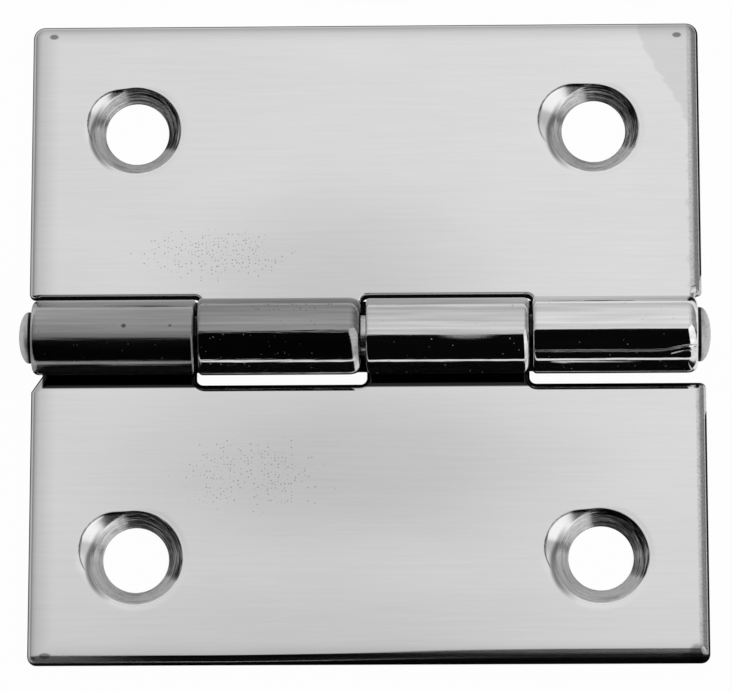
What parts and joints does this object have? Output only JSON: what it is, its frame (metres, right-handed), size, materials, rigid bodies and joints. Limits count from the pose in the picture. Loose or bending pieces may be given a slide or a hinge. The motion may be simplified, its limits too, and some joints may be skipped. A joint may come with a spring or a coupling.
{
  "type": "butt hinge",
  "caption": "Polished steel butt hinge, open flat: two leaves with rolled knuckles on a headed pin and countersunk screw holes.",
  "frame": {"origin": "On the plane of the leaves' backs, under the middle of the pin", "axes": "+X along the pin, +Y towards the upper leaf's free edge, +Z out of the screw side"},
  "size_m": [0.051, 0.0486, 0.0056],
  "materials": {
    "leaf_steel": "bright polished steel with fine polishing lines",
    "pin_steel": "polished steel, duller and pitted on the domed heads"
  },
  "bodies": {
    "lower": {"lower_leaf": "leaf_steel"},
    "upper": {"upper_leaf": "leaf_steel"},
    "pin": {"pin": "pin_steel"}
  },
  "joints": [
    {"name": "swing", "type": "hinge", "parent": "lower", "child": "upper", "pos_m": [0, 0, 0.0028], "axis": [1, 0, 0], "range_deg": [-95, 180]},
    {"name": "pin_turn", "type": "hinge", "parent": "lower", "child": "pin", "pos_m": [0, 0, 0.0028], "axis": [1, 0, 0], "continuous": true}
  ]
}
